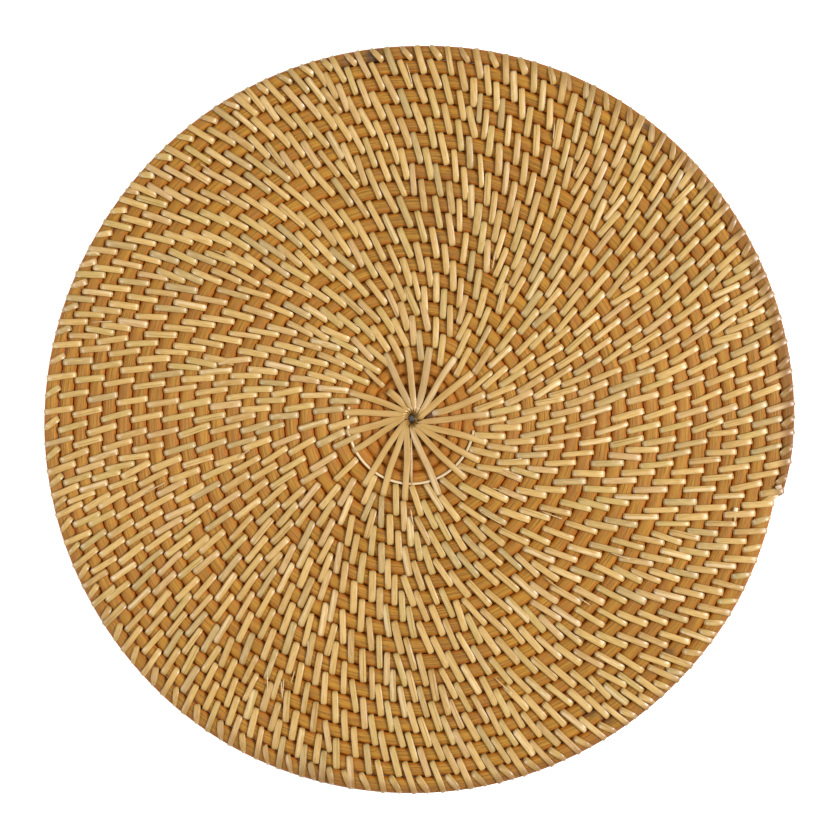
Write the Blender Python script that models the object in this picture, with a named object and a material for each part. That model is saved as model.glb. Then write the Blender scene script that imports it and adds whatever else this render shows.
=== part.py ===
"""Round coiled rattan placemat, lying flat, as one ribbed mat and the strips wound round its centre.

Metres, +Z up. The mat lies on z = 0, with the middle of its outline on the Z axis.
"""

import math

import bmesh
import bpy

NAME = "rattan_placemat"
MM = 0.001

# The coil runs outwards clockwise, seen from above. A turn number gives a place along it:
# the groove at turn t lies at the angle -360 t degrees, anticlockwise from +X.
START_TURN = -5.85
JOIN_TURN = -0.6  # the thin starter cane is joined to the full cane here
TIP_TURN = 19 + 12 / 360

# Mean groove radius in mm: even rows, a slow wave in their pitch, and closer rows at the start
GROOVE_R = 35.45
PITCH = 7.147
PITCH_WAVE = 0.766
PITCH_WAVE_TURNS = 13.0
PITCH_WAVE_SHIFT = 2.66
START_PITCH = 5.85
START_PITCH_TURN = -1.0

# The rows drift to one side and are slightly oval, more so towards the rim
RIM_R = 174.5
DRIFT_START = 0.34
DRIFT = 2.38
DRIFT_DEG = -33.6
OVAL = 0.637
OVAL_DEG = 51.6

# Heights and widths in mm
MAT_THICK = 7.0
START_THICK = 4.4
RIB_DEPTH = 1.5
START_RIB_DEPTH = 0.7
LAND_FROM, LAND_TO = 0.28, 0.72  # shares of a row's width that lie flat underneath
INNER_R = 5.2

# The outermost row's width, in at the coil's tip and changing round the mat
RIM_ROW = (
    # degrees anticlockwise from the tip, width in mm
    (0, 3.8),
    (6, 5.3),
    (12, 6.0),
    (42, 6.9),
    (72, 7.6),
    (102, 6.6),
    (132, 7.1),
    (162, 6.4),
    (192, 7.3),
    (222, 7.4),
    (252, 8.3),
    (282, 8.1),
    (312, 7.8),
    (342, 8.1),
    (360, 7.4),
)
COLUMNS_PER_TURN = 36

# The strips that fan out from the hole
STRIP_WIDTH = 3.0
STRIP_ROOT_WIDTH = 2.7
STRIP_THICK = 1.0
STRIP_END_GAP = 0.4
STRIP_END_DEGS = (
    94, 75, 55, 38, 18, 3, -17, -32, -49, -70, -94, -111, -126, -151, -167, -185, -204, -227, -247,
)
STRIP_ROOT_R = 10.6
STRIP_ROOT_DEG = 84.0
STRIP_STEPS = 4
POST_R = 4.7
HOLE_R = 2.8
ROUND_SIDES = 32


def clear_scene():
    for obj in list(bpy.data.objects):
        bpy.data.objects.remove(obj, do_unlink=True)


def collection(name):
    made = bpy.data.collections.new(name)
    bpy.context.scene.collection.children.link(made)
    return made


def material(name, colour, roughness):
    made = bpy.data.materials.new(name)
    made.use_nodes = True
    shader = made.node_tree.nodes["Principled BSDF"]
    shader.inputs["Base Color"].default_value = (*colour, 1.0)
    shader.inputs["Roughness"].default_value = roughness
    shader.inputs["Metallic"].default_value = 0.0
    return made


def mean_radius(turn):
    """The groove's radius at this turn in mm, before drift and ovalness."""
    if turn < START_PITCH_TURN:
        return mean_radius(START_PITCH_TURN) + START_PITCH * (turn - START_PITCH_TURN)
    wave = math.sin(2 * math.pi * (turn + PITCH_WAVE_SHIFT) / PITCH_WAVE_TURNS)
    return GROOVE_R + PITCH * turn + PITCH_WAVE * wave


def groove_radius(turn):
    angle = -2 * math.pi * turn
    mean = mean_radius(turn)
    share = mean / RIM_R
    drift = (DRIFT_START + DRIFT * share) * math.cos(angle - math.radians(DRIFT_DEG))
    oval = OVAL * share * math.cos(2 * (angle - math.radians(OVAL_DEG)))
    return max(mean + drift + oval, INNER_R)


def rim_row_width(turn):
    """The outermost row's width at this turn in mm, read between the rows of its table."""
    degrees = (TIP_TURN - turn) * 360
    for (low, width), (high, next_width) in zip(RIM_ROW, RIM_ROW[1:]):
        if degrees <= high:
            return width + (next_width - width) * (degrees - low) / (high - low)
    return RIM_ROW[-1][1]


def edge_radius(turn):
    """The radius of a row's edge: a groove, or past the last groove the mat's outline."""
    if turn <= TIP_TURN + 1e-9:
        return groove_radius(turn)
    return groove_radius(turn - 1) + rim_row_width(turn - 1)


def row_point(turn, share, height):
    """A point of the row that starts at this turn, at a share of its width, height in mm."""
    inner, outer = edge_radius(turn), edge_radius(turn + 1)
    radius = inner + (outer - inner) * share
    angle = -2 * math.pi * turn
    return (radius * math.cos(angle) * MM, radius * math.sin(angle) * MM, height * MM)


def rib_height(turn):
    """The top of the row that starts at this turn."""
    return (MAT_THICK + (START_THICK if turn < JOIN_TURN else MAT_THICK)) / 2


def groove_height(turn):
    """The bottom of the groove at this turn, between the row before it and the row after it."""
    if turn < JOIN_TURN + 1:
        return (MAT_THICK + START_THICK) / 2 - START_RIB_DEPTH
    return MAT_THICK - RIB_DEPTH


def mat_mesh():
    """Ribs raised along the spiral above and below, closed at the hole, the rim and the coil's ends."""
    bm = bmesh.new()
    last = round((TIP_TURN - START_TURN) * COLUMNS_PER_TURN)
    first_turn = TIP_TURN - last / COLUMNS_PER_TURN
    grooves, ribs, under_grooves, lands_in, lands_out = [], [], [], [], []
    for column in range(last + COLUMNS_PER_TURN + 1):
        turn = first_turn + column / COLUMNS_PER_TURN
        height = groove_height(turn)
        grooves.append(bm.verts.new(row_point(turn, 0.0, height)))
        under_grooves.append(bm.verts.new(row_point(turn, 0.0, MAT_THICK - height)))
        if column > last:
            continue
        height = rib_height(turn)
        ribs.append(bm.verts.new(row_point(turn, 0.5, height)))
        lands_in.append(bm.verts.new(row_point(turn, LAND_FROM, MAT_THICK - height)))
        lands_out.append(bm.verts.new(row_point(turn, LAND_TO, MAT_THICK - height)))

    def strip(inner, outer, steps, outer_shift=0):
        for i in steps:
            j = i + outer_shift
            bm.faces.new((inner[i], inner[i + 1], outer[j + 1], outer[j]))

    along = range(last)
    strip(grooves, ribs, along)
    strip(ribs, grooves, along, COLUMNS_PER_TURN)
    strip(under_grooves, lands_in, along)
    strip(lands_in, lands_out, along)
    strip(lands_out, under_grooves, along, COLUMNS_PER_TURN)
    strip(grooves, under_grooves, range(COLUMNS_PER_TURN))
    strip(grooves, under_grooves, range(last, last + COLUMNS_PER_TURN))
    for i in (0, last):
        j = i + COLUMNS_PER_TURN
        end = (grooves[i], ribs[i], grooves[j], under_grooves[j], lands_out[i], lands_in[i])
        bm.faces.new((*end, under_grooves[i]))
    bmesh.ops.recalc_face_normals(bm, faces=bm.faces)
    mesh = bpy.data.meshes.new("coil_mat")
    bm.to_mesh(mesh)
    bm.free()
    return mesh


def strip_outline():
    """The fan of strips seen from above, in mm, anticlockwise from the first strip's clockwise side."""
    points = []
    count = len(STRIP_END_DEGS)
    for index in reversed(range(count)):
        end_deg = STRIP_END_DEGS[index]
        root_deg = STRIP_ROOT_DEG - 360 / count * index
        end_turn = (-end_deg / 360 - JOIN_TURN) % 1 + JOIN_TURN
        end_r = groove_radius(end_turn) - STRIP_END_GAP
        sides = {-1: [], 1: []}
        for step in range(STRIP_STEPS + 1):
            share = step / STRIP_STEPS
            radius = STRIP_ROOT_R + (end_r - STRIP_ROOT_R) * share
            angle = math.radians(root_deg + (end_deg - root_deg) * math.sin(share * math.pi / 2))
            width = STRIP_ROOT_WIDTH + (STRIP_WIDTH - STRIP_ROOT_WIDTH) * share
            for side, line in sides.items():
                across = side * width / 2
                x = radius * math.cos(angle) - across * math.sin(angle)
                y = radius * math.sin(angle) + across * math.cos(angle)
                line.append((x, y))
        points += sides[-1] + sides[1][::-1]
    return points


def strip_fan(name, low):
    """One layer of strips as a mesh object, its underside at this height in mm."""
    curve = bpy.data.curves.new(name, "CURVE")
    curve.dimensions = "2D"
    curve.fill_mode = "BOTH"
    curve.extrude = STRIP_THICK / 2 * MM
    outline = strip_outline()
    line = curve.splines.new("POLY")
    line.points.add(len(outline) - 1)
    for point, (x, y) in zip(line.points, outline):
        point.co = (x * MM, y * MM, 0.0, 1.0)
    line.use_cyclic_u = True
    drawn = bpy.data.objects.new(name + "_outline", curve)
    bpy.context.scene.collection.objects.link(drawn)
    drawn.location.z = (low + STRIP_THICK / 2) * MM
    bpy.context.view_layer.update()
    mesh = bpy.data.meshes.new_from_object(drawn.evaluated_get(bpy.context.evaluated_depsgraph_get()))
    mesh.transform(drawn.matrix_world)
    bpy.data.objects.remove(drawn)
    bm = bmesh.new()
    bm.from_mesh(mesh)
    bmesh.ops.remove_doubles(bm, verts=bm.verts, dist=0.01 * MM)
    bmesh.ops.recalc_face_normals(bm, faces=bm.faces)
    bm.to_mesh(mesh)
    bm.free()
    return bpy.data.objects.new(name, mesh)


def cylinder(name, radius, low, high):
    mesh = bpy.data.meshes.new(name)
    bm = bmesh.new()
    bmesh.ops.create_cone(
        bm,
        cap_ends=True,
        segments=ROUND_SIDES,
        radius1=radius * MM,
        radius2=radius * MM,
        depth=(high - low) * MM,
    )
    bm.to_mesh(mesh)
    bm.free()
    made = bpy.data.objects.new(name, mesh)
    made.location.z = (low + high) / 2 * MM
    return made


def add_boolean(obj, operation, other):
    modifier = obj.modifiers.new(other.name, "BOOLEAN")
    modifier.operation = operation
    modifier.object = other
    other.hide_render = True
    other.display_type = "WIRE"


def centre_wrap(parts, helpers):
    """Strips above and below, joined through the hole that they are wound round."""
    wrap = strip_fan("centre_wrap", MAT_THICK - STRIP_THICK)
    below = strip_fan("strips_below", 0.0)
    post = cylinder("strips_through_hole", POST_R, STRIP_THICK / 2, MAT_THICK - STRIP_THICK / 2)
    hole = cylinder("hole", HOLE_R, -MAT_THICK, 2 * MAT_THICK)
    parts.objects.link(wrap)
    for helper in (below, post, hole):
        helpers.objects.link(helper)
    add_boolean(wrap, "UNION", below)
    add_boolean(wrap, "UNION", post)
    add_boolean(wrap, "DIFFERENCE", hole)
    wrap.data.materials.append(material("peel_strip", (0.665, 0.429, 0.171), 0.42))
    return [wrap, below, post, hole]


def coil_mat(parts):
    mat = bpy.data.objects.new("coil_mat", mat_mesh())
    mat.data.shade_smooth()
    mat.data.set_sharp_from_angle(angle=math.radians(60))
    mat.data.materials.append(material("rattan_cane", (0.434, 0.227, 0.063), 0.55))
    parts.objects.link(mat)
    return mat


def main():
    clear_scene()
    parts = collection(NAME)
    helpers = collection("cutters")
    mat = coil_mat(parts)
    pieces = [mat, *centre_wrap(parts, helpers)]
    for axis in (0, 1):
        places = [vertex.co[axis] for vertex in mat.data.vertices]
        middle = (min(places) + max(places)) / 2
        for piece in pieces:
            piece.location[axis] -= middle


main()
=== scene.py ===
"""Round coiled rattan placemat: the cane coil, its binding strips and the strips round its centre."""

import math

import bmesh
import bpy
import numpy as np
from bpy.props import FloatProperty, FloatVectorProperty, IntProperty, PointerProperty
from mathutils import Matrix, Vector


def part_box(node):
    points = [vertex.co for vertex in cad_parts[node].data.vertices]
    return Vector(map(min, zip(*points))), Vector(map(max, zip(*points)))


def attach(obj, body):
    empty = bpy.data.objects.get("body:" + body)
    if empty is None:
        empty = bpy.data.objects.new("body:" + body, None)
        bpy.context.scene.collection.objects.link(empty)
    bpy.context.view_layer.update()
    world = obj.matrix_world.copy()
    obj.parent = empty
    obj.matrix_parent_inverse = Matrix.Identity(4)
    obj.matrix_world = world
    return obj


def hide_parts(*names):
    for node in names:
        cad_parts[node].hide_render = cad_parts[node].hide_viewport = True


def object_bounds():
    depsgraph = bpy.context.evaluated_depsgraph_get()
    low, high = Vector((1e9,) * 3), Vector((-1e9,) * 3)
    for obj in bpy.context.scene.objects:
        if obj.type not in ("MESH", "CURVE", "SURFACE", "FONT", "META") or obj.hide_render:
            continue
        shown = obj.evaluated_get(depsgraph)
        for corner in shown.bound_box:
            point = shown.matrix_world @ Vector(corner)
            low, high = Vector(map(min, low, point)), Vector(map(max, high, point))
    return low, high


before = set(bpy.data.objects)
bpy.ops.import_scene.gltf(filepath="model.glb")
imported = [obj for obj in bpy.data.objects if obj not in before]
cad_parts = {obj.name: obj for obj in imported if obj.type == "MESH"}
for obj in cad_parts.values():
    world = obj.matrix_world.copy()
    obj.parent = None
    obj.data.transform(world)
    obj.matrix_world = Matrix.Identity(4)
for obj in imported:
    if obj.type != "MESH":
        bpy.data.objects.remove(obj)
CAD_LOW, CAD_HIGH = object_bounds()

bl_info = {
    "name": "Coiled rattan placemat",
    "version": (1, 0, 0),
    "blender": (4, 5, 0),
    "location": "3D View > Sidebar > Placemat",
    "description": "Builds a round placemat of coiled cane bound with peel strips",
    "category": "Object",
}

BODY = "root"
MM = 0.001
MAT_LOW, MAT_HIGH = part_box("coil_mat")
MIDDLE_Z = (MAT_LOW[2] + MAT_HIGH[2]) / 2

# The coil runs outwards clockwise, seen from above. A turn number gives a place along it:
# the groove at turn t lies at the angle -360 t degrees, anticlockwise from +X. The thinner starter
# cane comes first, in closer rows, and the full cane joins it under the centre strips.
START_TURN = -5.4
JOIN_TURN = -0.6
TIP_TURN = 19 + 12 / 360
START_PITCH_TURN = -1.0
START_R = 5.2 * MM

# The cane's cut tip: its width as a share of the row, and the length over which that gains a whole row
TIP_SHARE = 0.45
TIP_TAPER = 3 * MM

# Mean groove radius: even rows, a slow wave in their pitch
GROOVE_R = 35.45 * MM
PITCH_WAVE = 0.766 * MM
PITCH_WAVE_TURNS = 13.0
PITCH_WAVE_SHIFT = 2.66

# The rows drift to one side and are slightly oval, more so towards the rim
RIM_R = 174.5 * MM
DRIFT_START = 0.34 * MM
DRIFT = 2.38 * MM
DRIFT_DEG = -33.6
OVAL = 0.637 * MM
OVAL_DEG = 51.6

# The outermost row's width, in at the coil's tip and changing round the mat
RIM_ROW = (
    # degrees anticlockwise from the tip, width in mm
    (0, 4.1),
    (6, 5.8),
    (12, 6.5),
    (42, 7.3),
    (72, 7.9),
    (102, 6.8),
    (132, 7.1),
    (162, 6.4),
    (192, 7.1),
    (222, 7.2),
    (252, 8.3),
    (282, 8.4),
    (312, 8.4),
    (342, 8.7),
    (360, 7.9),
)
# The outermost row's cane stays this far inside the outline
RIM_INSET = 0.3 * MM

# Where the strips of the centre end, degrees anticlockwise from +X, going clockwise
CENTRE_STRIP_DEGS = (
    94, 75, 55, 38, 18, 3, -17, -32, -49, -70, -94, -111, -126, -151, -167, -185, -204, -227, -247,
)
# The finish of each, in the same order
CENTRE_FINISHES = (
    "tan", "grey", "pale_gleam", "gold", "brown", "brown", "gold", "gold", "gold", "pink",
    "gold", "straw", "straw", "gold", "gold", "straw", "gold", "gold", "grey",
)
# What a finish says of tone, hue, greyness, and a painted highlight streak, white near 0, or crack (near 1)
FINISHES = {
    "tan": (0.3, 0.3, 0.3, 0.5),
    "grey": (0.35, 0.4, 0.95, 0.5),
    "pale_gleam": (0.95, 0.2, 0.5, 0.0),
    "bright": (1.85, 0.45, 0.0, 0.5),
    "cut": (1.95, 0.3, 0.1, 0.5),
    "gold": (0.3, 0.5, 0.0, 0.5),
    "straw": (0.48, 0.5, 0.0, 0.5),
    "brown": (0.1, 0.25, 0.1, 0.5),
    "pink": (0.8, 0.05, 0.2, 0.05),
}
# The strip that has come apart, and the one that dips under its neighbours before the hole
BROKEN_STRIP = 17
DIVING_STRIP = 4
# How near the hole's middle the strips pass, and how far they are then drawn out along x and y
PAST_HOLE = 2.1 * MM
HOLE_STRETCH = np.array([1.24, 1.42])
# Fibres that have lifted off a strip, spread over the mat
SPLINTERS = 26

# Colours change between these distances from the hole: the starter cane's own colour, and painted shade near
# the hole, darkest in the pit
CORE_FADE = (34 * MM, 29 * MM)
SHADE_FADE = (28 * MM, 9 * MM)
PIT_FADE = (11.5 * MM, 9.5 * MM)
PEEL_SHADE_FADE = (36 * MM, 22 * MM)

# Painted shade darkens the rim between these radii, more so on the side that this vector points to
RIM_SHADE_FADE = (167 * MM, 173 * MM)
RIM_SHADE_SIDE = (5.0, -2.8, 0.0)

# Dark worn places on the cane's top, which is this high over the mat's middle, and three broad faint ones
CANE_TOP = 2.5 * MM
STAINS = (
    # radius in mm, degrees anticlockwise from +X, size in mm, strength
    (169.8, 96.0, 6.0, 0.85),
    (168.0, 100.6, 4.5, 0.5),
    (170.3, 90.5, 4.0, 0.4),
    (84.7, 82.4, 3.0, 0.75),
    (174.6, 51.1, 2.6, 0.7),
    (159.3, -58.7, 5.0, 0.6),
    (166.6, -56.8, 4.5, 0.55),
    (162.5, -42.6, 4.5, 0.5),
    (103.0, 88.0, 48.0, 0.13),
    (150.0, -48.0, 46.0, 0.15),
    (118.0, -86.0, 42.0, 0.1),
)

# A strip's place is this share the middle between its two neighbours in the row before,
# and for the rest the middle between the two beyond them
BESIDE_SHARE = 0.75
# Strips stand closer at the centre by this share, which fades with the turns
CLOSER_INSIDE = 0.17
CLOSER_TURNS = 4
# Two strips go in at one place once the rows owe more than this much of a strip, after at least so
# many single ones, in a gap wider than this share of the gaps around it, and each of the two stands
# this share of the gap from its middle
OWED = 0.5
SINGLES = 3
WIDE_SHARE = 0.97
TWO_ASIDE = 0.27
# How far a strip strays from its place, as a standard deviation in mm, and its lean in degrees
STRAY_MM = 0.22
STRAY_DEG = 2.2

# Ends of strips in one groove stay this far apart, middle to middle, as far as these moves allow:
# a strip is moved as it is laid, and then its ends are pushed along their grooves, a share at a time
ENDS_APART = 3.2 * MM
STRIP_MOVE = 1.2 * MM
END_MOVE = 1.6 * MM
PUSHES = 12
PUSH_SHARE = 0.6

# Strips and wraps end this far inside the outline, and a wrap's ends lie so far to each side
STRIP_RIM_INSET = 0.55 * MM
WRAP_RIM_INSET = 0.7 * MM
WRAP_ASIDE = 2.6 * MM

# The binding strips are two pieces, inside and outside this turn
SPLIT_TURN = 13.0

# How much the widths vary: standard deviation, least and most, as shares of the usual width
STRIP_WIDTHS = (0.07, 0.8, 1.18)
WRAP_WIDTHS = (0.08, 0.85, 1.2)
# A strip is slimmer by this share at its very ends, and a wrap by this one towards the rim
END_SLIM = 0.06
WRAP_SLIM = 0.3

# The strips' lean changes round the mat, in degrees
LEAN_ONCE = 2.0
LEAN_ONCE_DEG = 30.0
LEAN_TWICE = 3.5
LEAN_TWICE_DEG = 122.0

# One binding strip over two rows: down into a groove, over, down, and back underneath
STRIP_PATH = (
    # rows out from the middle groove, height over the mat's middle in mm, share of the way to the next
    (-1.0, 0.2, 0.0),
    (-0.985, 1.5, 0.0),
    (-0.94, 2.3, 0.0),
    (-0.84, 2.78, 0.0),
    (-0.5, 3.1, 0.0),
    (0.5, 3.12, 0.0),
    (0.83, 2.82, 0.0),
    (0.935, 2.35, 0.0),
    (0.985, 1.5, 0.0),
    (1.0, 0.0, 0.0),
    (0.95, -2.1, 0.02),
    (0.7, -2.95, 0.15),
    (-0.7, -2.95, 0.85),
    (-0.95, -2.1, 0.98),
    (-1.0, -0.3, 1.0),
)
# A wrap over the outermost row alone
WRAP_PATH = (
    # rows out from the last groove, height over the mat's middle in mm, share of the way to the next
    (0.0, 0.3, 0.0),
    (0.035, 1.75, 0.0),
    (0.14, 2.68, 0.0),
    (0.32, 3.0, 0.0),
    (0.5, 3.08, 0.0),
    (0.68, 3.0, 0.0),
    (0.86, 2.55, 0.0),
    (0.965, 1.45, 0.0),
    (1.0, 0.0, 0.0),
    (0.965, -1.45, 0.05),
    (0.8, -2.75, 0.2),
    (0.5, -3.05, 0.5),
    (0.2, -2.75, 0.8),
    (0.035, -1.75, 0.95),
    (0.0, -0.3, 1.0),
)
# A strip's section, and the corners of it that stay crisp
STRIP_SECTION = (
    # share of half the width, share of half the thickness
    (-1.0, -0.5),
    (-0.94, 0.5),
    (-0.5, 0.95),
    (0.5, 0.95),
    (0.94, 0.5),
    (1.0, -0.5),
    (0.0, -1.0),
)
CRISP_SIDES = (0, 1, 4, 5)

# The photo's side in pixels, and the size of a pixel: the mat is 752 of them across
PHOTO_SIDE = 840
PIXEL = 350 * MM / 752
# The floor lies this far under the mat, and glows from between these radii outwards: painted light that keeps
# the mat's shadow off it
FLOOR_GAP = 0.2 * MM
FLOOR_GLOW_FADE = (164 * MM, 172 * MM)


def length_setting(name, description, default):
    """A length that a user may change."""
    return FloatProperty(name=name, description=description, default=default, unit="LENGTH")


def colour_setting(name, description, default):
    """A linear colour that a user may change."""
    return FloatVectorProperty(name=name, description=description, default=default, subtype="COLOR")


class MatSizes(bpy.types.PropertyGroup):
    """Sizes of the cane and the strips."""

    pitch: length_setting("Row pitch", "Distance between grooves", 7.147 * MM)
    start_pitch: length_setting("Starter row pitch", "Distance between grooves in the first turns", 5.85 * MM)
    cane_height: length_setting("Cane height", "Thickness of the cane", 5.4 * MM)
    cane_fill: FloatProperty(
        name="Cane fill", description="Share of the row that the cane takes", default=0.99, soft_max=1.1
    )
    strip_width: length_setting("Strip width", "Width of the peel strip", 3.0 * MM)
    strip_thick: length_setting("Strip thickness", "Thickness of the peel strip", 0.85 * MM)
    spacing: length_setting("Strip spacing", "Mean distance between strips along a groove", 12.1 * MM)
    lean: FloatProperty(
        name="Strip lean", description="How far a strip leans from the radius", default=math.radians(16.5),
        subtype="ANGLE",
    )
    seed: IntProperty(name="Seed", description="Start of the random draws", default=7)


class MatColours(bpy.types.PropertyGroup):
    """Colours of the cane and the peel, linear."""

    cane: colour_setting("Cane", "Sanded honey-brown cane", (0.365, 0.175, 0.02))
    cane_red: colour_setting("Red cane", "Cane with a trace of red", (0.27, 0.1, 0.018))
    # cane_dark: the cane's darker streaks, and also painted shade at the rim and along the peel's edges
    cane_dark: colour_setting("Dark cane", "Darker streaks of the cane", (0.15, 0.057, 0.007))
    # groove: painted shade deep between the rows and near the hole
    groove: colour_setting("Groove", "Dark colour deep between the rows", (0.31, 0.09, 0.003))
    peel: colour_setting("Peel", "Straw-coloured rattan peel", (0.43, 0.268, 0.077))
    peel_pale: colour_setting("Pale peel", "Palest parts of the peel", (0.5, 0.34, 0.15))
    peel_dark: colour_setting("Dark peel", "Darker peel strips", (0.29, 0.16, 0.04))
    peel_green: colour_setting("Green peel", "Peel with a trace of green", (0.32, 0.23, 0.06))
    peel_pink: colour_setting("Pink peel", "Peel with a trace of pink", (0.37, 0.225, 0.1))
    peel_grey: colour_setting("Grey peel", "Peel worn grey", (0.3, 0.21, 0.105))
    peel_dull: colour_setting("Dull peel", "Olive peel with little shine", (0.24, 0.175, 0.066))
    peel_white: colour_setting("White peel", "Fresh cuts and bleached places", (0.8, 0.71, 0.55))
    cane_core: colour_setting("Starter cane", "Orange-brown cane of the first turns", (0.335, 0.125, 0.014))
    pit: colour_setting("Pit", "Shaded cane right at the hole", (0.06, 0.019, 0.002))
    stain: colour_setting("Stain", "Dark worn places", (0.05, 0.031, 0.018))


class Term:
    """A socket whose arithmetic adds Math nodes to its tree."""

    def __init__(self, kit, socket):
        self.kit = kit
        self.socket = socket

    def math(self, operation, *others):
        made = self.kit.node("ShaderNodeMath", {"operation": operation}, {0: self})
        for index, other in enumerate(others, start=1):
            self.kit.feed(made.inputs[index], other)
        return Term(self.kit, made.outputs[0])

    def __add__(self, other):
        return self.math("ADD", other)

    def __sub__(self, other):
        return self.math("SUBTRACT", other)

    def __mul__(self, other):
        return self.math("MULTIPLY", other)

    def __truediv__(self, other):
        return self.math("DIVIDE", other)

    __radd__ = __add__
    __rmul__ = __mul__

    def __rsub__(self, other):
        return (self * -1.0) + other

    def __rtruediv__(self, other):
        return self.power(-1.0) * other

    def power(self, exponent):
        return self.math("POWER", exponent)

    def absolute(self):
        return self.math("ABSOLUTE")

    def smooth_step(self, low, high):
        """0 below low, 1 above high, or the other way round where high is the smaller."""
        made = self.kit.node(
            "ShaderNodeMapRange",
            {"interpolation_type": "SMOOTHSTEP"},
            {"Value": self, "From Min": low, "From Max": high},
        )
        return Term(self.kit, made.outputs["Result"])


class Kit:
    """Adds nodes to one tree."""

    def __init__(self, tree):
        self.tree = tree

    def feed(self, socket, value):
        if isinstance(value, Term):
            self.tree.links.new(value.socket, socket)
        elif isinstance(value, bpy.types.NodeSocket):
            self.tree.links.new(value, socket)
        elif value is not None:
            socket.default_value = value

    def node(self, kind, settings=None, inputs=None):
        """A node of this type, with its settings, which come first, and its sockets' values or links."""
        made = self.tree.nodes.new(kind)
        for name, value in (settings or {}).items():
            setattr(made, name, value)
        for name, value in (inputs or {}).items():
            self.feed(made.inputs[name], value)
        return made

    def value(self, kind, settings=None, inputs=None, output=0):
        """One output of such a node."""
        return Term(self, self.node(kind, settings, inputs).outputs[output])

    def attribute(self, name):
        """A shader's reading of a mesh attribute."""
        return self.value("ShaderNodeAttribute", {"attribute_name": name}, output="Fac")

    def named(self, name, kind="FLOAT"):
        """A geometry tree's reading of a mesh attribute."""
        settings = {"data_type": kind}
        return self.value("GeometryNodeInputNamedAttribute", settings, {"Name": name}, "Attribute")

    def vector(self, x, y, z):
        return self.value("ShaderNodeCombineXYZ", None, {"X": x, "Y": y, "Z": z})

    def measure(self, operation, *vectors):
        """A number that Vector Math gives for these vectors, such as a length or a distance."""
        inputs = dict(enumerate(vectors))
        return self.value("ShaderNodeVectorMath", {"operation": operation}, inputs, "Value")

    def stored(self, geometry, name, value, domain="POINT"):
        """The geometry with this value stored as its attribute."""
        settings = {"data_type": "FLOAT", "domain": domain}
        inputs = {"Geometry": geometry, "Name": name, "Value": value}
        return self.value("GeometryNodeStoreNamedAttribute", settings, inputs)

    def noise(self, place, scale, detail=2.0, roughness=0.5):
        inputs = {"Vector": place, "Scale": scale, "Detail": detail, "Roughness": roughness}
        return self.value("ShaderNodeTexNoise", {"noise_dimensions": "3D"}, inputs, "Fac")

    def mix(self, share, low, high):
        """A colour between low and high."""
        made = self.node("ShaderNodeMix", {"data_type": "RGBA"}, {"Factor": share})
        for socket, value in ((made.inputs[6], low), (made.inputs[7], high)):
            plain = not isinstance(value, (Term, bpy.types.NodeSocket))
            self.feed(socket, (*value, 1.0) if plain else value)
        return Term(self, made.outputs[2])


def mean_radius(turn):
    """The groove's radius at each turn, before drift and ovalness."""
    sizes = bpy.context.scene.placemat_sizes
    turn = np.asarray(turn, float)

    def even(t):
        wave = np.sin(2 * math.pi * (t + PITCH_WAVE_SHIFT) / PITCH_WAVE_TURNS)
        return GROOVE_R + sizes.pitch * t + PITCH_WAVE * wave

    start = even(START_PITCH_TURN) + sizes.start_pitch * (turn - START_PITCH_TURN)
    return np.where(turn < START_PITCH_TURN, start, even(turn))


def groove_radius(turn):
    """The groove's radius at each turn, from the hole's middle."""
    turn = np.asarray(turn, float)
    angle = -2 * math.pi * turn
    mean = mean_radius(turn)
    share = mean / RIM_R
    drift = (DRIFT_START + DRIFT * share) * np.cos(angle - math.radians(DRIFT_DEG))
    oval = OVAL * share * np.cos(2 * (angle - math.radians(OVAL_DEG)))
    return np.maximum(mean + drift + oval, START_R)


def edge_radius(turn):
    """The radius of a row's edge: a groove, or past the last groove the mat's outline."""
    turn = np.asarray(turn, float)
    degrees, widths = zip(*RIM_ROW)
    rim_row = np.interp((TIP_TURN - (turn - 1)) * 360, degrees, widths) * MM
    return np.where(turn <= TIP_TURN, groove_radius(turn), groove_radius(turn - 1) + rim_row)


def hole_place():
    """The hole's place: the outline worked out from the coil is centred on the mat's box."""
    turn = np.linspace(TIP_TURN + 1e-6, TIP_TURN + 1, 721)
    radius = edge_radius(turn)
    angle = -2 * math.pi * turn
    outline = np.stack([radius * np.cos(angle), radius * np.sin(angle)])
    middle = (outline.min(axis=1) + outline.max(axis=1)) / 2
    box_middle = np.array([MAT_LOW[i] + MAT_HIGH[i] for i in (0, 1)]) / 2
    return box_middle - middle


def flat_place(radius, angle):
    """Points in the mat's plane, as an array with columns x and y."""
    hole = hole_place()
    return np.stack([hole[0] + radius * np.cos(angle), hole[1] + radius * np.sin(angle)], axis=-1)


def lean_change(turn):
    """How the strips' lean differs from the mean, in degrees: slowly round the mat."""
    angle = -2 * math.pi * turn
    once = LEAN_ONCE * np.cos(angle - math.radians(LEAN_ONCE_DEG))
    twice = LEAN_TWICE * np.cos(2 * (angle - math.radians(LEAN_TWICE_DEG)))
    return once + twice


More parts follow.
